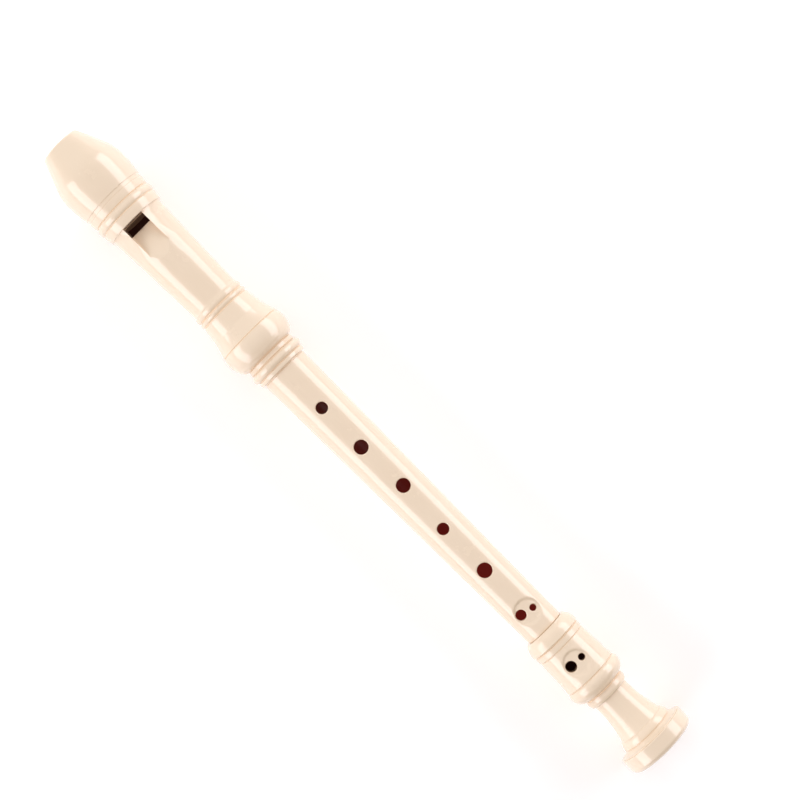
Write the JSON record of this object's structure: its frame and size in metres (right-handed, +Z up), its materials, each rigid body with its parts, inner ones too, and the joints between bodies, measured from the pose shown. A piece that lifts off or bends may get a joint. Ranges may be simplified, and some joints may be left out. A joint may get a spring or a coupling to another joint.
{
  "type": "soprano recorder",
  "caption": "Slim moulded soprano recorder with a beaked mouthpiece, whistle window, finger holes and a flared foot; its head and foot joints turn and pull off.",
  "frame": {"origin": "on the surface the recorder lies on, under the middle of its length", "axes": "+X along the bore from the mouth to the foot, +Z up through the finger holes, +Y to the player's left when it is played"},
  "size_m": [0.325, 0.03, 0.03],
  "materials": {
    "ivory_shell": "polished ivory ABS",
    "ivory_block": "smooth ivory ABS",
    "seal_rubber": "greased silicone rubber"
  },
  "bodies": {
    "middle": {"middle_tube": "ivory_shell", "middle_collar": "ivory_shell"},
    "upper_seal": {"upper_seal_ring": "seal_rubber"},
    "head": {"head_barrel": "ivory_shell", "beak_cap": "ivory_shell", "fipple_block": "ivory_block", "head_socket_collar": "ivory_shell"},
    "lower_seal": {"lower_seal_ring": "seal_rubber"},
    "foot": {"foot_body": "ivory_shell", "foot_base_ring": "ivory_shell"}
  },
  "joints": [
    {"name": "head_turn", "type": "hinge", "parent": "middle", "child": "upper_seal", "pos_m": [-0.0589, 0, 0.015], "axis": [1, 0, 0], "continuous": true},
    {"name": "head_pull", "type": "slide", "parent": "upper_seal", "child": "head", "axis": [-1, 0, 0], "range_m": [0, 0.02]},
    {"name": "foot_turn", "type": "hinge", "parent": "middle", "child": "lower_seal", "pos_m": [0.1041, 0, 0.015], "axis": [1, 0, 0], "continuous": true},
    {"name": "foot_pull", "type": "slide", "parent": "lower_seal", "child": "foot", "axis": [1, 0, 0], "range_m": [0, 0.016]}
  ]
}
